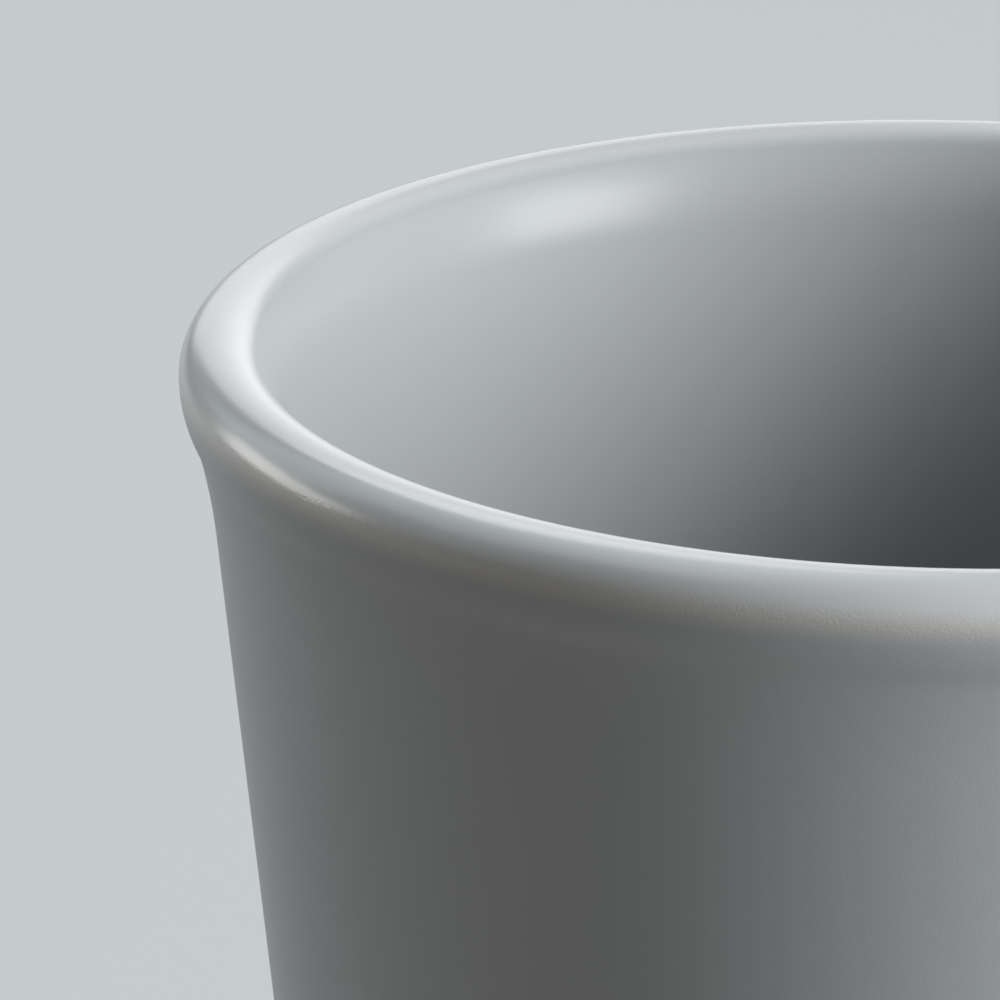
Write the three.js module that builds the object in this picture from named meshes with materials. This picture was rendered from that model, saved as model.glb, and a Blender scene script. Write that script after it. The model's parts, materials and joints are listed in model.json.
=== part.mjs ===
// Glazed stoneware tumbler: a tapered clay cup with a rolled lip, a bare foot ring and three coats of glaze.
// Millimetres, +Z up. The origin is the middle of the plane that the cup stands on.
import * as THREE from 'three';

// Driving dimensions. Leans are degrees from upright, and rounds are radii over the glaze.
const HEIGHT = 100;           // from the table to the crest of the lip
const LIP_RADIUS = 41;        // the widest radius, at the lip
const LIP_ROUND = 2.28;       // crest of the lip
const CREST_LEAN = 32;        // where the crest's round stops, on the inside
const THROAT_ROUND = 9;       // gentler round from the crest down into the inside wall
const SHOULDER_ROUND = 5.5;   // round under the widest radius, on the outside
const SHOULDER_LEAN = 26.6;   // steepest undercut of the lip
const NECK_ROUND = 4.9;       // crisp hollow under the shoulder
const NECK_LEAN = 14.3;       // where the crisp hollow turns into the soft one
const SWEEP_ROUND = 35.4;     // soft hollow that runs out into the wall
const WALL_LEAN = 5.9;        // taper of both faces of the wall
const CORNER_ROUND = 7;       // hollow between the inside wall and the floor
const FLOOR_THICKNESS = 5;    // clay only
const FOOT_HEIGHT = 4;        // depth of the ring that the cup stands on
const FOOT_EDGE = 1.2;        // rounds on both lower edges of the ring
const FOOT_BEARING = 3;       // width of the flat that touches the table
const FOOT_INSIDE_LEAN = 15;  // draft of the ring's inside face
const GLAZE = 0.4;            // thickness of every coat
const SEAM_ANGLE = -10;       // the gloss coat ends here, just under the widest radius
const JOINT_ANGLE = 132;      // the floor's joint cuts the corner's hollow here
const FIT = 0.05;             // clear gap between neighbouring solids
const FACETS = 60;            // sides of every round piece
// Straight chords along each arc of a section
const CHORDS = { crest: 10, throat: 3, shoulder: 3, neck: 2, sweep: 2, corner: 6, foot: 3 };

// Values that follow from those
const CLAY_DEPTH = GLAZE + FIT;
const FLOOR_TOP = FOOT_HEIGHT + FLOOR_THICKNESS + CLAY_DEPTH;
const UNDERSIDE = FOOT_HEIGHT - FIT;
const INSIDE_FACING = 180 - WALL_LEAN;
const { degToRad, radToDeg } = THREE.MathUtils;
const WALL_TAN = Math.tan(degToRad(WALL_LEAN));
const WALL_COS = Math.cos(degToRad(WALL_LEAN));

// Section points are (radius, height). A surface faces 0 outwards, 90 up, 180 inwards and -90 down.
const at = (radius, height) => new THREE.Vector2(radius, height);
const facing = (angle) => at(Math.cos(degToRad(angle)), Math.sin(degToRad(angle)));
const fitAngle = (radius) => radToDeg(FIT / radius);

// An arc of the finished surface that carries on from a point. A negative radius is a hollow.
function arc(start, radius, from, to, chords) {
  const centre = start.clone().addScaledVector(facing(from), -radius);
  const end = centre.clone().addScaledVector(facing(to), radius);
  return { centre, radius, from, to, chords, end };
}

// The point of an arc that faces an angle, at a depth below the finished surface
function spot(curve, depth, angle) {
  return curve.centre.clone().addScaledVector(facing(angle), curve.radius - depth);
}

// A row of points along an arc, or along a stretch of it, at a depth below the finished surface
function along(curve, depth, from = curve.from, to = curve.to) {
  const share = (to - from) / (curve.to - curve.from);
  const steps = Math.max(1, Math.round(curve.chords * Math.abs(share)));
  return Array.from({ length: steps + 1 }, (_, i) => spot(curve, depth, from + (to - from) * i / steps));
}

// The section of the lip, from its widest point over the crest and in, and from there down and out
const widest = at(LIP_RADIUS, HEIGHT - LIP_ROUND);
const crest = arc(widest, LIP_ROUND, 0, 180 - CREST_LEAN, CHORDS.crest);
const throat = arc(crest.end, THROAT_ROUND, crest.to, INSIDE_FACING, CHORDS.throat);
const shoulder = arc(widest, SHOULDER_ROUND, 0, -SHOULDER_LEAN, CHORDS.shoulder);
const neck = arc(shoulder.end, -NECK_ROUND, shoulder.to, -NECK_LEAN, CHORDS.neck);
const sweep = arc(neck.end, -SWEEP_ROUND, neck.to, -WALL_LEAN, CHORDS.sweep);

// The straight faces of the wall, at a height and at a depth below the glaze
const outsideRadius = (height, depth) => sweep.end.x - (sweep.end.y - height) * WALL_TAN - depth / WALL_COS;
const insideRadius = (height, depth) => throat.end.x - (throat.end.y - height) * WALL_TAN + depth / WALL_COS;
const outsidePoint = (height, depth) => at(outsideRadius(height, depth), height);

// The hollow between the inside wall and the floor
const cornerHeight = FLOOR_TOP + CORNER_ROUND;
const floorEdge = at(insideRadius(cornerHeight, -CORNER_ROUND), FLOOR_TOP);
const corner = arc(floorEdge, -CORNER_ROUND, 90, INSIDE_FACING, CHORDS.corner);

// Finishes: soft gloss inside and over the lip, satin outside, bare clay on the foot
const gloss = { color: 0xa6abad, roughness: 0.33, metalness: 0 };
const satin = { color: 0x979a9d, roughness: 0.42, metalness: 0 };
const bareClay = { color: 0xb5a898, roughness: 0.85, metalness: 0 };

const tumbler = new THREE.Group();

// Turns a section about the cup's axis into one named piece.
function turn(name, section, finish) {
  const geometry = new THREE.LatheGeometry(section, FACETS).rotateX(Math.PI / 2);
  const piece = new THREE.Mesh(geometry, new THREE.MeshStandardMaterial(finish));
  piece.name = name;
  tumbler.add(piece);
}

// Turns a section that doesn't reach the axis, and so closes on itself.
const turnRing = (name, section, finish) => turn(name, [...section, section[0].clone()], finish);

// Floor slab: its edge is bevelled up and in to the joint with the wall
turn('clay_floor', [
  at(0, FOOT_HEIGHT),
  outsidePoint(FOOT_HEIGHT, CLAY_DEPTH),
  ...along(corner, CLAY_DEPTH, JOINT_ANGLE, corner.from),
  at(0, FLOOR_TOP - CLAY_DEPTH),
], bareClay);

// Wall: bevelled below to sit on the floor's edge, and above to carry the lip
turnRing('clay_wall', [
  outsidePoint(FOOT_HEIGHT + FIT, CLAY_DEPTH),
  ...along(sweep, CLAY_DEPTH, sweep.to, sweep.from),
  spot(throat, CLAY_DEPTH, throat.to),
  ...along(corner, CLAY_DEPTH, corner.to, JOINT_ANGLE + fitAngle(CORNER_ROUND)),
], bareClay);

// Rolled lip, from the crisp hollow outside to the end of the throat inside
turnRing('lip_roll', [
  ...along(neck, CLAY_DEPTH, neck.to - fitAngle(NECK_ROUND), neck.from),
  ...along(shoulder, CLAY_DEPTH, shoulder.to, shoulder.from).slice(1),
  ...along(crest, CLAY_DEPTH).slice(1),
  ...along(throat, CLAY_DEPTH, throat.from, throat.to - fitAngle(THROAT_ROUND)).slice(1),
], bareClay);

// Foot ring, luted under the floor and left bare
const bearingOut = at(outsideRadius(FOOT_EDGE, CLAY_DEPTH + FOOT_EDGE), 0);
const bearingIn = at(bearingOut.x - FOOT_BEARING, 0);
const footOutside = arc(bearingOut, FOOT_EDGE, -90, -WALL_LEAN, CHORDS.foot);
const footInside = arc(bearingIn, FOOT_EDGE, -90, FOOT_INSIDE_LEAN - 180, CHORDS.foot);
const footInsideRise = UNDERSIDE - footInside.end.y;
const footInsideTop = footInside.end.x - footInsideRise * Math.tan(degToRad(FOOT_INSIDE_LEAN));
turnRing('foot_ring', [
  at(footInsideTop, UNDERSIDE),
  ...along(footInside, 0, footInside.to, footInside.from),
  ...along(footOutside, 0),
  outsidePoint(UNDERSIDE, CLAY_DEPTH),
], bareClay);

// Gloss coat: across the floor, up the inside wall, over the crest and down to the seam
const linerFace = (depth) => [
  at(0, FLOOR_TOP - depth),
  ...along(corner, depth),
  ...along(throat, depth, throat.to, throat.from),
  ...along(crest, depth, crest.to, crest.from).slice(1),
  ...along(shoulder, depth, shoulder.from, SEAM_ANGLE).slice(1),
];
turn('liner_glaze', [...linerFace(GLAZE), ...linerFace(0).reverse()], gloss);

// Satin coat: from the seam down the outside to the foot
const outerFace = (depth) => [
  outsidePoint(FOOT_HEIGHT, depth),
  ...along(sweep, depth, sweep.to, sweep.from),
  ...along(neck, depth, neck.to, neck.from).slice(1),
  ...along(shoulder, depth, shoulder.to, SEAM_ANGLE - fitAngle(SHOULDER_ROUND)).slice(1),
];
turnRing('outer_glaze', [...outerFace(0), ...outerFace(GLAZE).reverse()], satin);

// Coat in the recess under the floor
const baseRadius = footInsideTop - FIT;
turn('base_glaze', [
  at(0, UNDERSIDE - GLAZE),
  at(baseRadius, UNDERSIDE - GLAZE),
  at(baseRadius, UNDERSIDE),
  at(0, UNDERSIDE),
], satin);

export default tumbler;
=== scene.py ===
# %% [markdown]
# # A glazed stoneware tumbler
# This lesson dresses a plain cup: a tapered clay body with a rolled lip, a smooth glaze inside and over
# the lip, a satin glaze outside, and a bare foot ring. The packed model gives the pieces at their real
# size, in metres, with the table at height zero. Everything made here goes round that frame, and
# nothing in the frame is moved.

# %% Load the frame
import json
import math

import bpy
from mathutils import Matrix, Vector

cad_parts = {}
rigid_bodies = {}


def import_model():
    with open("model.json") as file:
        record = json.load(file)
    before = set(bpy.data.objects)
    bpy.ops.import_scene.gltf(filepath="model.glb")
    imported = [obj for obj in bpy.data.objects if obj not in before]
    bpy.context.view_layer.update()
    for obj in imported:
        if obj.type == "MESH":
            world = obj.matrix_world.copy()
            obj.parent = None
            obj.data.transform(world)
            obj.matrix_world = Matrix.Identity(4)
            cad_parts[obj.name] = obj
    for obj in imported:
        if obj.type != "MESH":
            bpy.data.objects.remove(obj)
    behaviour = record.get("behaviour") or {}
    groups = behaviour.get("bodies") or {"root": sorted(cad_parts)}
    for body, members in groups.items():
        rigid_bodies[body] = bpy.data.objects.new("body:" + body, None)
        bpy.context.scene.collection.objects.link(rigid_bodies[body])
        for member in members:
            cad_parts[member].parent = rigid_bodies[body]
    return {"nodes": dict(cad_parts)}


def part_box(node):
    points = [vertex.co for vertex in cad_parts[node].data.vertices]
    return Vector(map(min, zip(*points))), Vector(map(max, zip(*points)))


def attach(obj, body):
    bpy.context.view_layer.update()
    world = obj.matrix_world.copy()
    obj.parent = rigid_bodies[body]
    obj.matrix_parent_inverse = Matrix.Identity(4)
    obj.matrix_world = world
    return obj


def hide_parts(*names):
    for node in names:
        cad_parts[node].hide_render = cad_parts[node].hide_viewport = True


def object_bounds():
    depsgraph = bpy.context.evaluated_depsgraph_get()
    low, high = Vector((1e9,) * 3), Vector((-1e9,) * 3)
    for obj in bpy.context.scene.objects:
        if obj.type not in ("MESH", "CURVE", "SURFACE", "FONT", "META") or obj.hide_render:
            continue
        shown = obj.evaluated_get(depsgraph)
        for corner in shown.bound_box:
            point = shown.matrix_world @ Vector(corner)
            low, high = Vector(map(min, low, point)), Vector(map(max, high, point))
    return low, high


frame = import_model()
cad_low, cad_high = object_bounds()
MM = 0.001
print("nodes:", ", ".join(sorted(frame["nodes"])))
print("size, mm:", [round(x / MM, 1) for x in cad_high - cad_low])

# %% [markdown]
# ## The camera
# The view is a close one: a long lens looks down at the upper left of the cup, so the rim's right half
# and the lower wall are outside the picture. A camera can be placed by eye and nudged. Here it is
# placed by numbers: a distance from the middle of the lip, a height angle, and the small turn that puts
# the cup to the right.

# %% Camera
LIP_ROUND = 2.28 * MM
LIP_CENTRE = Vector((0, 0, cad_high.z - LIP_ROUND))
LIP_DISTANCE = 373 * MM
LIP_ELEVATION = math.radians(18.09)
LOOK_LEFT = math.radians(3.873)
LOOK_DOWN = math.radians(19.234)
LENS = 252.0
SENSOR = 36.0


def look(left, down):
    """Turns a camera, first level along +Y, to the left and then down."""
    forward = Vector((-math.sin(left) * math.cos(down), math.cos(left) * math.cos(down), -math.sin(down)))
    right = Vector((math.cos(left), math.sin(left), 0))
    up = right.cross(forward)
    return Matrix((right, up, -forward)).transposed().to_4x4()


camera = bpy.data.objects.new("camera", bpy.data.cameras.new("camera"))
camera.data.lens = LENS
camera.data.sensor_width = SENSOR
camera.data.clip_start = 10 * MM
back = Vector((0, -math.cos(LIP_ELEVATION), math.sin(LIP_ELEVATION)))
camera.matrix_world = Matrix.Translation(LIP_CENTRE + back * LIP_DISTANCE) @ look(LOOK_LEFT, LOOK_DOWN)
bpy.context.scene.collection.objects.link(camera)
bpy.context.scene.camera = camera
bpy.context.scene.view_settings.view_transform = "Standard"
print("camera at, mm:", [round(x / MM) for x in camera.location])

# %% [markdown]
# ## The lamps
# A glazed round lip shows its surroundings, so the lamps matter as much as the glaze. Lamps could be
# points or suns, which give hard bright dots. Area lamps are used, as a photographer uses soft boxes:
# their width is what shows as a broad highlight. Each one is placed by a direction and a distance from
# the lip, and aimed at it. The main one stands on the right. Weaker ones above, behind and on the left
# draw the highlights along the lip. None stands near the camera, so the middle of the wall stays in
# shade. The tints are those of a room by day: plain, a little cool from the sky, and creamy from a pale
# wall.

# %% Lamps
PLAIN = (0.985, 1.0, 1.01)
COOL = (0.91, 1.0, 1.05)
CREAM = (1.02, 1.0, 0.96)
LAMPS = {
    "key_right": dict(azimuth=-18, elevation=16, distance=0.9, size=(0.44, 0.48), watts=12.7, tint=PLAIN),
    "key_high": dict(azimuth=-18, elevation=36, distance=0.9, size=(0.5, 0.4), watts=1.0, tint=PLAIN),
    "low_right": dict(azimuth=-34, elevation=-3, distance=0.9, size=(0.5, 0.1), watts=3.1, tint=COOL),
    "overhead": dict(azimuth=90, elevation=84, distance=1.0, size=(1.2, 1.0), watts=1.1, tint=PLAIN),
    "window": dict(azimuth=107, elevation=43, distance=1.1, size=(0.44, 0.4), watts=2.05, tint=PLAIN),
    "behind": dict(azimuth=94, elevation=16, distance=1.2, size=(1.0, 0.68), watts=3.4, tint=PLAIN),
    "high_left": dict(azimuth=150, elevation=60, distance=1.0, size=(1.0, 0.66), watts=2.9, tint=COOL),
    "back_left": dict(azimuth=148, elevation=28, distance=1.0, size=(0.5, 0.55), watts=1.25, tint=COOL),
    "low_left": dict(azimuth=159, elevation=7, distance=1.0, size=(0.54, 0.26), watts=2.1, tint=CREAM),
    "side_left": dict(azimuth=182, elevation=30, distance=1.0, size=(0.7, 0.5), watts=0.45, tint=COOL),
}


def aimed(azimuth, elevation, distance):
    """Stands off from the lip in a direction, measured from +X towards +Y, and faces back to it."""
    a, e = math.radians(azimuth), math.radians(elevation)
    away = Vector((math.cos(a) * math.cos(e), math.sin(a) * math.cos(e), math.sin(e)))
    turned = away.to_track_quat("Z", "Y").to_matrix().to_4x4()
    return Matrix.Translation(LIP_CENTRE + away * distance) @ turned


for name, lamp in LAMPS.items():
    light = bpy.data.lights.new(name, "AREA")
    light.shape = "RECTANGLE"
    light.size, light.size_y = lamp["size"]
    light.energy = lamp["watts"]
    light.color = lamp["tint"]
    holder = bpy.data.objects.new(name, light)
    holder.matrix_world = aimed(lamp["azimuth"], lamp["elevation"], lamp["distance"])
    holder.visible_camera = False
    bpy.context.scene.collection.objects.link(holder)
print("lamps:", ", ".join(LAMPS))

# %% [markdown]
# ## Finishes
# Each finish of the cup is a Principled shader fed by procedural textures in Object coordinates, so the
# grain has its true size in metres on every side. A photograph could be wrapped round the cup instead,
# but it would carry one moment's light with it. This small class keeps the calls short.

# %% Helpers for finishes
# A Mix node's sockets share their names, so they are reached by their places: two inputs and the output.
COLOUR_SOCKETS = (6, 7, 2)
NUMBER_SOCKETS = (2, 3, 0)


class Finish:
    """A material with short calls to add nodes and links."""

    def __init__(self, name):
        self.material = bpy.data.materials.new(name)
        self.material.use_nodes = True
        self.tree = self.material.node_tree
        self.shader = self.tree.nodes["Principled BSDF"]
        self.place = self.add("ShaderNodeTexCoord").outputs["Object"]

    def add(self, kind, inputs=None, **settings):
        made = self.tree.nodes.new(kind)
        for key, value in settings.items():
            setattr(made, key, value)
        for key, value in (inputs or {}).items():
            self.put(made.inputs[key], value)
        return made

    def put(self, socket, value):
        if isinstance(value, bpy.types.NodeSocket):
            self.tree.links.new(value, socket)
        else:
            socket.default_value = value

    def noise(self, grain, detail=2.0):
        """Soft random cloud whose blotches are about one grain across, in metres."""
        inputs = {"Vector": self.place, "Scale": 1 / grain, "Detail": detail}
        return self.add("ShaderNodeTexNoise", inputs).outputs["Fac"]

    def blend(self, factor, first, second):
        """A colour between two others."""
        mix = self.add("ShaderNodeMix", {"Factor": factor}, data_type="RGBA")
        low, high, result = COLOUR_SOCKETS
        for key, value in ((low, first), (high, second)):
            self.put(mix.inputs[key], value if isinstance(value, bpy.types.NodeSocket) else (*value, 1))
        return mix.outputs[result]

    def mix(self, factor, first, second):
        """A number between two others."""
        mix = self.add("ShaderNodeMix", {"Factor": factor}, data_type="FLOAT")
        low, high, result = NUMBER_SOCKETS
        self.put(mix.inputs[low], first)
        self.put(mix.inputs[high], second)
        return mix.outputs[result]

    def ramp(self, value, low, high, to_low=0.0, to_high=1.0):
        """A soft step from one number to another as a value goes from low to high."""
        inputs = {"Value": value, "From Min": low, "From Max": high, "To Min": to_low, "To Max": to_high}
        return self.add("ShaderNodeMapRange", inputs, interpolation_type="SMOOTHSTEP").outputs["Result"]

    def maths(self, operation, first, second):
        return self.add("ShaderNodeMath", {0: first, 1: second}, operation=operation).outputs[0]

    def height(self):
        return self.add("ShaderNodeSeparateXYZ", {"Vector": self.place}).outputs["Z"]

    def radius(self):
        """Distance from the cup's axis."""
        flat = self.add("ShaderNodeVectorMath", {0: self.place, 1: (1, 1, 0)}, operation="MULTIPLY")
        return self.add("ShaderNodeVectorMath", {0: flat.outputs[0]}, operation="LENGTH").outputs["Value"]

    def bump(self, height, distance, normal=None):
        """Dents the shading by a height times a distance in metres, on top of any other bump."""
        inputs = {"Height": height, "Distance": distance}
        if normal is not None:
            inputs["Normal"] = normal
        return self.add("ShaderNodeBump", inputs).outputs["Normal"]

    def set(self, **values):
        """Sets or links the shader's sockets, named as in Base_Color."""
        for key, value in values.items():
            self.put(self.shader.inputs[key.replace("_", " ").title()], value)


print("helpers:", ", ".join(key for key in vars(Finish) if not key.startswith("_")))

# %% [markdown]
# ## The floor and the room
# The cup stands on a pale grey sheet in a dim room. A white sheet would throw light back up under the
# lip and wash out its shadow. So the sheet is pale in reflections, and darker to the soft light that it
# hands back. It would also glare near the lamps, so the camera sees half of its light and half of a
# steady pale tone. It still takes the cup's shadow.

# %% Floor and world
FLOOR_HALF = 4.0
FLOOR_DROP = 0.05 * MM
FLOOR_PALE = (0.53, 0.546, 0.557)
FLOOR_BOUNCE = (0.31, 0.27, 0.225)
FLOOR_LIT = (0.265, 0.273, 0.279)
FLOOR_GLOW = (0.28, 0.296, 0.304)
WORLD_GREY = (0.66, 0.55, 0.42)
WORLD_STRENGTH = 0.02


def floor_paint():
    f = Finish("floor_paint")
    rays = f.add("ShaderNodeLightPath").outputs
    unseen = f.blend(rays["Is Glossy Ray"], FLOOR_BOUNCE, FLOOR_PALE)
    f.set(Base_Color=f.blend(rays["Is Camera Ray"], unseen, FLOOR_LIT))
    f.set(Emission_Color=(*FLOOR_GLOW, 1), Emission_Strength=rays["Is Camera Ray"])
    f.shader.inputs["Specular IOR Level"].default_value = 0.0
    return f.material


corners = [(-1, -1), (1, -1), (1, 1), (-1, 1)]
places = [(x * FLOOR_HALF, y * FLOOR_HALF, -FLOOR_DROP) for x, y in corners]
floor_mesh = bpy.data.meshes.new("floor")
floor_mesh.from_pydata(places, [], [(0, 1, 2, 3)])
floor_mesh.materials.append(floor_paint())
floor = bpy.data.objects.new("floor", floor_mesh)
bpy.context.scene.collection.objects.link(floor)

world = bpy.data.worlds.new("room")
world.use_nodes = True
room = world.node_tree.nodes["Background"].inputs
room["Color"].default_value = (*WORLD_GREY, 1)
room["Strength"].default_value = WORLD_STRENGTH
bpy.context.scene.world = world
print("floor, m:", 2 * FLOOR_HALF)

# %% [markdown]
# ## The section
# The whole cup is a turned shape, so one section says everything. It could be drawn by hand as many
# points. It is built from arcs instead, each starting where the last one stops and facing the same way
# there, so that a highlight runs over the joins without a kink. An angle says which way the surface
# faces: 0 outwards, 90 up, 180 inwards and -90 down. A depth takes the same arc below the surface, to
# the back of the glaze.

# %% Arcs
STEP = 1.5
BACK_STEP = 6.0


def facing(angle):
    return Vector((math.cos(math.radians(angle)), math.sin(math.radians(angle))))


def arc(start, radius, begin, end):
    """An arc that carries on from a point. A negative radius is a hollow."""
    centre = Vector(start) - facing(begin) * radius
    return dict(centre=centre, radius=radius, begin=begin, end=end, stop=centre + facing(end) * radius)


def spot(curve, angle, depth=0.0):
    """The point of an arc that faces an angle, at a depth below the finished surface."""
    return curve["centre"] + facing(angle) * (curve["radius"] - depth)


def along(curve, depth=0.0, begin=None, end=None):
    """Points along an arc, or along a stretch of it. The hidden back of a coat gets fewer."""
    begin = curve["begin"] if begin is None else begin
    end = curve["end"] if end is None else end
    steps = max(2, math.ceil(abs(end - begin) / (BACK_STEP if depth else STEP)))
    return [spot(curve, begin + (end - begin) * i / steps, depth) for i in range(steps + 1)]


print("angle step, degrees:", STEP, "and on hidden faces", BACK_STEP)

# %% [markdown]
# The outside starts at the widest point of the lip and runs down: a shoulder that tucks under, a crisp
# hollow, a soft hollow and the straight taper. The inside starts at the same point and runs up: over
# the small round of the crest and down the gentler round of the throat into the inside wall, and at the
# bottom through a hollow into the floor.

# %% Section of the cup
HEIGHT = cad_high.z
LIP_RADIUS = cad_high.x
CREST_LEAN = 32
THROAT_ROUND = 9 * MM
SHOULDER_ROUND = 5.5 * MM
SHOULDER_LEAN = 26.6
NECK_ROUND = 4.9 * MM
NECK_LEAN = 14.3
SWEEP_ROUND = 35.4 * MM
WALL_LEAN = 5.9
CORNER_ROUND = 7 * MM
GLAZE = 0.4 * MM

widest = Vector((LIP_RADIUS, HEIGHT - LIP_ROUND))
crest = arc(widest, LIP_ROUND, 0, 180 - CREST_LEAN)
throat = arc(crest["stop"], THROAT_ROUND, crest["end"], 180 - WALL_LEAN)
shoulder = arc(widest, SHOULDER_ROUND, 0, -SHOULDER_LEAN)
neck = arc(shoulder["stop"], -NECK_ROUND, shoulder["end"], -NECK_LEAN)
sweep = arc(neck["stop"], -SWEEP_ROUND, neck["end"], -WALL_LEAN)
WALL_TAN = math.tan(math.radians(WALL_LEAN))
WALL_COS = math.cos(math.radians(WALL_LEAN))


def outside_point(height, depth=0.0):
    """A point of the outside wall at a height."""
    return Vector((sweep["stop"].x - (sweep["stop"].y - height) * WALL_TAN - depth / WALL_COS, height))


def inside_point(height, depth=0.0):
    """A point of the inside wall at a height."""
    return Vector((throat["stop"].x - (throat["stop"].y - height) * WALL_TAN + depth / WALL_COS, height))


FLOOR_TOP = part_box("liner_glaze")[0].z + GLAZE
floor_edge = Vector((inside_point(FLOOR_TOP + CORNER_ROUND, -CORNER_ROUND).x, FLOOR_TOP))
corner = arc(floor_edge, -CORNER_ROUND, 90, 180 - WALL_LEAN)
middle = HEIGHT / 2
print("wall, mm:", round((outside_point(middle).x - inside_point(middle).x) * WALL_COS / MM, 2))

# %% [markdown]
# ## A lathe in Geometry Nodes
# Blender's Screw modifier or the Spin tool could turn the section. A small node tree does it here,
# because it shows the rule itself: a grid has one row for each section point and one column for each
# turn step, and each grid point is moved to its section point, turned about the cup's axis. Merging by
# distance closes the seam and the poles. One thing is added that a lathe can't do: below a line, points
# sink by a soft random amount round the cup, because the lower edge of a dipped glaze is never quite
# level.

# %% The turning tree
def turning_tree():
    tree = bpy.data.node_groups.new("turn_on_wheel", "GeometryNodeTree")
    sockets = {"Section": "Geometry", "Sides": "Int", "Weld": "Float", "Line": "Float", "Reach": "Float",
               "Wander": "Float", "Ripple": "Float", "Finish": "Material"}
    for label, kind in sockets.items():
        tree.interface.new_socket(label, in_out="INPUT", socket_type="NodeSocket" + kind)
    tree.interface.new_socket("Piece", in_out="OUTPUT", socket_type="NodeSocketGeometry")
    given = tree.nodes.new("NodeGroupInput").outputs

    def node(kind, inputs, **settings):
        """Adds a node, with its settings first and then its inputs, which are sockets or plain values."""
        made = tree.nodes.new(kind)
        for key, value in settings.items():
            setattr(made, key, value)
        for key, value in inputs.items():
            if isinstance(value, bpy.types.NodeSocket):
                tree.links.new(value, made.inputs[key])
            else:
                made.inputs[key].default_value = value
        return made.outputs

    def maths(operation, first, second):
        return node("ShaderNodeMath", {0: first, 1: second}, operation=operation)[0]

    section_size = node("GeometryNodeAttributeDomainSize", {"Geometry": given["Section"]}, component="MESH")
    rows = section_size["Point Count"]
    columns = node("FunctionNodeIntegerMath", {0: given["Sides"], 1: 1}, operation="ADD")[0]
    grid = node("GeometryNodeMeshGrid", {"Vertices X": rows, "Vertices Y": columns})["Mesh"]

    index = node("GeometryNodeInputIndex", {})["Index"]
    row = node("FunctionNodeIntegerMath", {0: index, 1: columns}, operation="DIVIDE_FLOOR")[0]
    column = node("FunctionNodeIntegerMath", {0: index, 1: columns}, operation="MODULO")[0]
    place = node("GeometryNodeInputPosition", {})["Position"]
    section_point = tree.nodes.new("GeometryNodeSampleIndex")
    section_point.data_type = "FLOAT_VECTOR"
    for key, value in {"Geometry": given["Section"], "Value": place, "Index": row}.items():
        tree.links.new(value, section_point.inputs[key])
    angle = maths("MULTIPLY", maths("DIVIDE", column, given["Sides"]), 2 * math.pi)
    turned = node("ShaderNodeVectorRotate", {"Vector": section_point.outputs["Value"], "Angle": angle},
                  rotation_type="Z_AXIS")["Vector"]

    height = node("ShaderNodeSeparateXYZ", {"Vector": turned})["Z"]
    top = maths("ADD", given["Line"], given["Reach"])
    nearness = node("ShaderNodeMapRange", {"Value": height, "From Min": top, "From Max": given["Line"]},
                    interpolation_type="SMOOTHSTEP")["Result"]
    flat = node("ShaderNodeVectorMath", {0: turned, 1: (1, 1, 0)}, operation="MULTIPLY")[0]
    ripple = node("ShaderNodeTexNoise", {"Vector": flat, "Scale": maths("DIVIDE", 1.0, given["Ripple"]),
                                         "Detail": 1.0})["Fac"]
    sink = maths("MULTIPLY", maths("MULTIPLY", nearness, ripple), given["Wander"])
    drop = node("ShaderNodeCombineXYZ", {"Z": maths("MULTIPLY", sink, -1.0)})["Vector"]

    moves = {"Geometry": grid, "Position": turned, "Offset": drop}
    moved = node("GeometryNodeSetPosition", moves)["Geometry"]
    welded = node("GeometryNodeMergeByDistance", {"Geometry": moved, "Distance": given["Weld"]})["Geometry"]
    smooth = node("GeometryNodeSetShadeSmooth", {"Geometry": welded})["Geometry"]
    real = node("GeometryNodeRealizeInstances", {"Geometry": smooth})["Geometry"]
    finished = node("GeometryNodeSetMaterial", {"Geometry": real, "Material": given["Finish"]})["Geometry"]
    node("NodeGroupOutput", {"Piece": finished})
    return tree


wheel = turning_tree()
print("tree:", wheel.name, "with", len(wheel.nodes), "nodes")

# %% [markdown]
# The tree works on a chain of section points. This helper gives the chain to a new object, sets the
# tree's named inputs by their identifiers, takes the result as a plain mesh and removes the modifier.
# Edges that turn sharply keep a crease, so that the flat end of a coat doesn't bend the shading of its
# face. The printed volume is above zero when the faces point outwards.

# %% Turn a section into a piece
SIDES = 256
WELD = 1e-6
CREASE = math.radians(50)
RIPPLE = 14 * MM


def turn(name, section, finish, line=0.0, reach=1 * MM, wander=0.0):
    chain = bpy.data.meshes.new(name + "_section")
    edges = [(i, i + 1) for i in range(len(section) - 1)]
    chain.from_pydata([(p.x, 0, p.y) for p in section], edges, [])
    piece = bpy.data.objects.new(name, chain)
    bpy.context.scene.collection.objects.link(piece)
    lathe = piece.modifiers.new("turn", "NODES")
    lathe.node_group = wheel
    keys = {item.name: item.identifier for item in wheel.interface.items_tree if item.in_out == "INPUT"}
    given = dict(Sides=SIDES, Weld=WELD, Line=line, Reach=reach, Wander=wander, Ripple=RIPPLE, Finish=finish)
    for label, value in given.items():
        lathe[keys[label]] = value
    depsgraph = bpy.context.evaluated_depsgraph_get()
    mesh = bpy.data.meshes.new_from_object(piece.evaluated_get(depsgraph), depsgraph=depsgraph)
    piece.modifiers.remove(lathe)
    piece.data = mesh
    mesh.name = name
    bpy.data.meshes.remove(chain)
    mesh.set_sharp_from_angle(angle=CREASE)
    mesh.calc_loop_triangles()
    points = [v.co for v in mesh.vertices]
    triangles = [[points[i] for i in t.vertices] for t in mesh.loop_triangles]
    volume = sum(a.dot(b.cross(c)) for a, b, c in triangles) / 6
    print(f"{name}: {len(triangles)} triangles, {volume / MM ** 3:.0f} mm3")
    return piece


print("turn steps:", SIDES)

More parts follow.
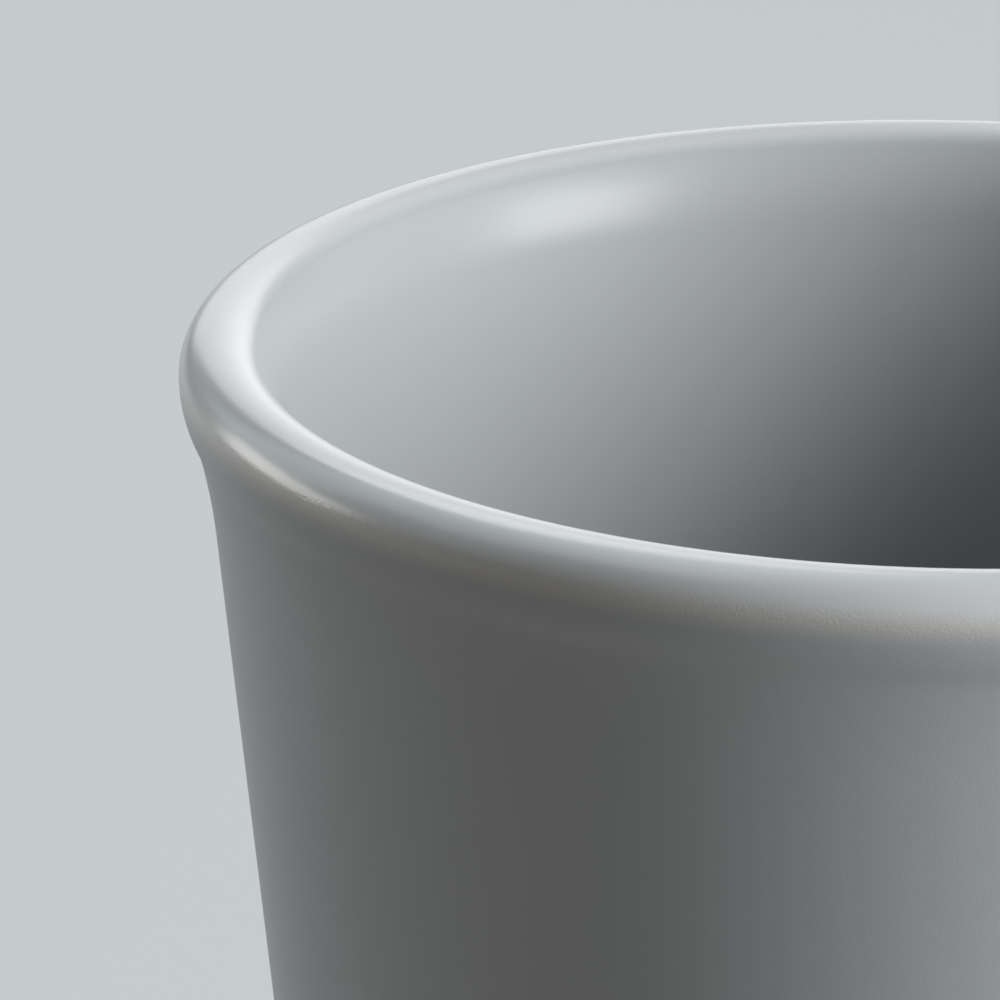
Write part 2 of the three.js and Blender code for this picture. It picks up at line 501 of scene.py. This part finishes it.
# %% [markdown]
# ## Where two glazes meet
# The two coats meet just under the widest point of the lip. On the real cup they melt into each other
# there, and the glaze draws thin over that outermost edge, so a little of the clay's warmth comes
# through. Two materials that only touch would show a line. So the outside of the lip is described once,
# by height: the satin grey below turns warm at the edge and pale over the crest, and smooth as well.
# That warm, pale colour is partly the thin glaze and partly painted light, standing in for the extra
# light that the top of the lip catches. The fine grain is strongest at the edge and gone on the crest.
# Both glazes use that one description.

# %% The outside, from the wall over the edge of the lip
SATIN_GREY = (0.302, 0.32, 0.338)
SATIN_DEEP = (0.283, 0.3, 0.317)
# Warm edge and pale crest: partly thin glaze over the clay, partly painted light for the lit top of the lip.
EDGE_WARM_AND_PAINTED_LIGHT = (0.45, 0.437, 0.415)
LIP_PALE_AND_PAINTED_LIGHT = (0.503, 0.515, 0.52)
SMOOTH_START = 95.0 * MM
WARM_START, WARM_FULL = 96.7 * MM, 98.3 * MM
PALE_START, PALE_FULL = 97.5 * MM, 98.9 * MM
SATIN_SHEEN = 0.42
LIP_SHEEN = 0.24
CLOUDS = 14 * MM
SPECKLE = 0.45 * MM
SPECKLE_SHARE = 0.12
GRAIN = 0.14 * MM
WALL_GRAIN = 0.45
GRAIN_FADE, GRAIN_END = 98.3 * MM, 99.0 * MM


def outside_look(f):
    """Colour, roughness and grain of the outside, by height."""
    drift = f.maths("MULTIPLY", f.noise(SPECKLE), SPECKLE_SHARE)
    clouds = f.maths("ADD", f.noise(CLOUDS), f.maths("SUBTRACT", drift, SPECKLE_SHARE / 2))
    warm = f.ramp(f.height(), WARM_START, WARM_FULL)
    pale = f.ramp(f.height(), PALE_START, PALE_FULL)
    edge = f.blend(warm, f.blend(clouds, SATIN_GREY, SATIN_DEEP), EDGE_WARM_AND_PAINTED_LIGHT)
    sheen = f.ramp(f.height(), SMOOTH_START, PALE_FULL, SATIN_SHEEN, LIP_SHEEN)
    fade = f.ramp(f.height(), GRAIN_FADE, GRAIN_END)
    strength = f.mix(fade, f.mix(warm, WALL_GRAIN, 1.0), 0.0)
    grain = f.maths("MULTIPLY", f.noise(GRAIN, detail=1.0), strength)
    # The pale crest colour is partly thin glaze and partly painted light.
    return f.blend(pale, edge, LIP_PALE_AND_PAINTED_LIGHT), sheen, grain


print("warm edge, mm:", round(WARM_START / MM, 1), "to", round(PALE_FULL / MM, 1))

# %% [markdown]
# ## The inside glaze
# The inside is a smooth cool grey with a soft sheen, paler on the crest of the lip, where the coat is
# thinner; that paleness is also painted light, standing in for the light that the crest catches. It
# could be one flat grey, but a glaze pools and thins as it melts. So two near greys drift into each
# other, the sheen varies slightly, and very shallow waves bend the highlight. The inside mirrors less of
# the room than the lip does, so the tint of its mirror is dim and rises to full on the crest. Past the
# crest, the distance from the axis brings in the look of the outside.

# %% Inside glaze
LINER_GREY = (0.382, 0.397, 0.405)
LINER_DEEP = (0.362, 0.377, 0.385)
# The crest's paleness inside is partly thin glaze and partly painted light for the light the crest catches.
THIN_AND_LIT_START, THIN_AND_LIT_FULL = 99.1 * MM, 99.9 * MM
CREST_START, CREST_FULL = 98.9 * MM, 99.7 * MM
OUTSIDE_START, OUTSIDE_FULL = 38.6 * MM, 39.6 * MM
POOLS = 18 * MM
SHEEN_PATCH = 9 * MM
PATCH_LOW, PATCH_HIGH = 0.3, 0.7
LINER_SHEEN = (0.29, 0.33)
INSIDE_MIRROR = (0.3, 0.3, 0.3)
LIP_MIRROR = (1, 1, 1)
WAVES = 6 * MM
WAVE_HEIGHT = 0.015 * MM
GRAIN_HEIGHT = 0.014 * MM


def gloss_glaze():
    f = Finish("gloss_glaze")
    colour, sheen, grain = outside_look(f)
    outside = f.ramp(f.radius(), OUTSIDE_START, OUTSIDE_FULL)
    pools = f.blend(f.noise(POOLS), LINER_GREY, LINER_DEEP)
    # Paler crest: partly thin glaze, partly painted light.
    inside = f.blend(f.ramp(f.height(), THIN_AND_LIT_START, THIN_AND_LIT_FULL), pools, LIP_PALE_AND_PAINTED_LIGHT)
    patches = f.ramp(f.noise(SHEEN_PATCH), PATCH_LOW, PATCH_HIGH, *LINER_SHEEN)
    crest_share = f.ramp(f.height(), CREST_START, CREST_FULL)
    inside_sheen = f.mix(crest_share, patches, LIP_SHEEN)
    mirror = f.blend(f.maths("MAXIMUM", crest_share, outside), INSIDE_MIRROR, LIP_MIRROR)
    waves = f.bump(f.noise(WAVES), WAVE_HEIGHT)
    f.set(Base_Color=f.blend(outside, inside, colour), Roughness=f.mix(outside, inside_sheen, sheen))
    f.set(Normal=f.bump(f.maths("MULTIPLY", grain, outside), GRAIN_HEIGHT, waves))
    f.set(Specular_Tint=mirror)
    return f.material


gloss = gloss_glaze()
print("material:", gloss.name)

# %% [markdown]
# ## The outside glaze
# The outside is a darker cool grey with a dry, silky feel. A finer bump than the eye can count gives
# that: in the picture it only shows where a highlight breaks up into grains under the lip. Bump is
# enough, because the grains are a hundredth of a millimetre high.

# %% Outside glaze
def satin_glaze():
    f = Finish("satin_glaze")
    colour, sheen, grain = outside_look(f)
    f.set(Base_Color=colour, Roughness=sheen, Normal=f.bump(grain, GRAIN_HEIGHT))
    return f.material


satin = satin_glaze()
print("material:", satin.name)

# %% [markdown]
# ## Bare clay
# The foot ring is left without glaze, so that the cup doesn't stick to the kiln shelf. Fired stoneware
# is matt and buff, with grit in it, and the tool that trimmed it on the wheel left fine rings. The
# rings could be modelled, but they are thinner than a hair. So a wave that depends only on height and
# radius gives them as bump.

# %% Bare clay
CLAY_BUFF = (0.46, 0.39, 0.31)
CLAY_GREY = (0.40, 0.345, 0.28)
CLAY_SPECK = (0.25, 0.20, 0.155)
CLAY_PATCH = 4 * MM
SPECK = 0.55 * MM
SPECK_START, SPECK_FULL = 0.66, 0.72
GRIT = 0.3 * MM
GRIT_HEIGHT = 0.05 * MM
RING_PITCH = 0.55 * MM
RING_HEIGHT = 0.02 * MM
CLAY_ROUGH = 0.88


def bare_clay():
    f = Finish("bare_clay")
    patches = f.blend(f.noise(CLAY_PATCH), CLAY_BUFF, CLAY_GREY)
    specks = f.ramp(f.noise(SPECK, detail=0.0), SPECK_START, SPECK_FULL)
    across = f.maths("MULTIPLY", f.maths("ADD", f.height(), f.radius()), 2 * math.pi / RING_PITCH)
    rings = f.bump(f.maths("SINE", across, 0.0), RING_HEIGHT)
    f.set(Base_Color=f.blend(specks, patches, CLAY_SPECK), Roughness=CLAY_ROUGH)
    f.set(Normal=f.bump(f.noise(GRIT), GRIT_HEIGHT, rings))
    return f.material


clay = bare_clay()
print("material:", clay.name)

# %% [markdown]
# ## The inside coat
# The inside glaze is one closed skin, 0.4 mm thick: across the floor, up the wall, over the crest and
# down to the seam. It could be a bare surface with no thickness, but a closed skin can be weighed,
# printed and exported. The rows just before the seam are set close together, so that the shading runs
# on into the next coat.

# %% Inside coat
SEAM_ANGLE = -10
SEAM_ROWS = (0, 0.15, 0.4, 0.8, 1.4, 2.3, 3.5, 5)


def seam_rows(depth, side):
    """Rows that start at the seam and spread out to one side of it, in degrees."""
    return [spot(shoulder, SEAM_ANGLE + side * row, depth) for row in SEAM_ROWS]


def liner_face(depth):
    floor_middle = Vector((0, FLOOR_TOP - depth))
    throat_up = along(throat, depth, throat["end"], throat["begin"])
    crest_over = along(crest, depth, crest["end"], crest["begin"])[1:]
    near_seam = seam_rows(depth, 1)[::-1]
    to_seam = along(shoulder, depth, 0, SEAM_ANGLE + SEAM_ROWS[-1])[1:-1] + near_seam
    return [floor_middle, *along(corner, depth), *throat_up, *crest_over, *to_seam]


liner = turn("liner_coat", liner_face(0) + liner_face(GLAZE)[::-1], gloss)

# %% [markdown]
# ## The outside coat
# The satin glaze runs from the seam down to the foot. On a dipped cup, wax keeps the foot clean, and
# the glaze pulls back from it into a low rounded bead. A straight cut edge would look like tape. So the
# coat swells a little near its end, closes in a half ellipse, and its line wanders round the cup by a
# fraction of a millimetre.

# %% Outside coat
GLAZE_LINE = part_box("outer_glaze")[0].z
BEAD_SWELL = 0.12 * MM
BEAD_LENGTH = 2.4 * MM
BEAD_TIP = 0.35 * MM
BEAD_ROWS = 10
LINE_WANDER = 0.5 * MM


def outer_face(depth):
    down = along(shoulder, depth, SEAM_ANGLE - SEAM_ROWS[-1], shoulder["end"])[1:]
    return [*seam_rows(depth, -1), *down, *along(neck, depth)[1:], *along(sweep, depth)[1:]]


def bead():
    """The swollen end of the coat, down its face, round the tip and to its back."""
    start = GLAZE_LINE + BEAD_TIP
    thickness = GLAZE + BEAD_SWELL
    face, tip = [], []
    for i in range(BEAD_ROWS + 1):
        share = i / BEAD_ROWS
        turned = math.pi * share
        swell = BEAD_SWELL * (1 - math.cos(turned)) / 2
        back = thickness * (1 + math.cos(turned)) / 2
        face.append(outside_point(start + BEAD_LENGTH * (1 - share), -swell))
        tip.append(outside_point(start - BEAD_TIP * math.sin(turned), GLAZE - back))
    return face + tip[1:]


outer_section = outer_face(0) + bead() + outer_face(GLAZE)[::-1]
outer = turn("outer_coat", outer_section + outer_section[:1], satin, GLAZE_LINE, BEAD_LENGTH, LINE_WANDER)

# %% [markdown]
# ## The foot ring
# The ring that the cup stands on is trimmed from the leather-hard clay. Its lower edges are rounded so
# that they don't chip or scratch a table, and its inside face leans a little so that the trimming tool
# comes out. A plain tube would do for the size, but the rounded edges catch the light, so the section
# has both arcs.

# %% Foot ring
FIT = 0.05 * MM
CLAY_DEPTH = GLAZE + FIT
FOOT_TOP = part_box("foot_ring")[1].z
FOOT_EDGE = 1.2 * MM
FOOT_BEARING = 3 * MM
FOOT_INSIDE_LEAN = 15

bearing_out = Vector((outside_point(FOOT_EDGE, CLAY_DEPTH + FOOT_EDGE).x, cad_low.z))
bearing_in = bearing_out - Vector((FOOT_BEARING, 0))
foot_outside = arc(bearing_out, FOOT_EDGE, -90, -WALL_LEAN)
foot_inside = arc(bearing_in, FOOT_EDGE, -90, FOOT_INSIDE_LEAN - 180)


def foot_inside_point(height):
    """A point of the ring's leaning inside face."""
    rise = height - foot_inside["stop"].y
    return Vector((foot_inside["stop"].x - rise * math.tan(math.radians(FOOT_INSIDE_LEAN)), height))


foot_section = [outside_point(FOOT_TOP, CLAY_DEPTH), *along(foot_outside, 0, foot_outside["end"], -90),
                *along(foot_inside), foot_inside_point(FOOT_TOP)]
foot = turn("foot", foot_section + foot_section[:1], clay)

# %% [markdown]
# ## The base coat
# The recess under the floor is glazed too. Where the glaze meets the ring, it creeps down the clay a
# little way, as water does at the side of a glass. A flat disc would leave a hard dark line there. So
# the disc ends in a small hollow round that follows the ring's leaning face.

# %% Base coat
CREEP_ROUND = 0.8 * MM
base_low = FOOT_TOP - GLAZE
creep_end = foot_inside_point(base_low - CREEP_ROUND) - Vector((FIT, 0))
creep_start = Vector((creep_end.x - CREEP_ROUND, base_low))
creep = arc(creep_start, -CREEP_ROUND, -90, -180)
base_section = [Vector((0, FOOT_TOP)), foot_inside_point(FOOT_TOP) - Vector((FIT, 0)),
                *along(creep, 0, -180, -90), Vector((0, base_low))]
base = turn("base_coat", base_section, satin)

# %% [markdown]
# ## The clay body
# Floor, wall and lip are hidden under the coats. The packed pieces already have their shape, so they
# are kept as they are and only take the clay's finish.

# %% Clay body
CLAY_BODY = ("clay_floor", "clay_wall", "lip_roll")
for name in CLAY_BODY:
    frame["nodes"][name].material_slots[0].material = clay
print("clay body:", ", ".join(CLAY_BODY))

# %% [markdown]
# ## Hand over
# Each dressed piece rides on the cup's only body, stands in for its plain piece and names the finish
# slot that it fills.

# %% Ride on the frame and finish
DRESSED = (
    (liner, "liner_glaze", "gloss_glaze"),
    (outer, "outer_glaze", "satin_glaze"),
    (foot, "foot_ring", "bare_clay"),
    (base, "base_glaze", "satin_glaze"),
)
for piece, node, slot in DRESSED:
    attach(piece, "root")
    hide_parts(node)
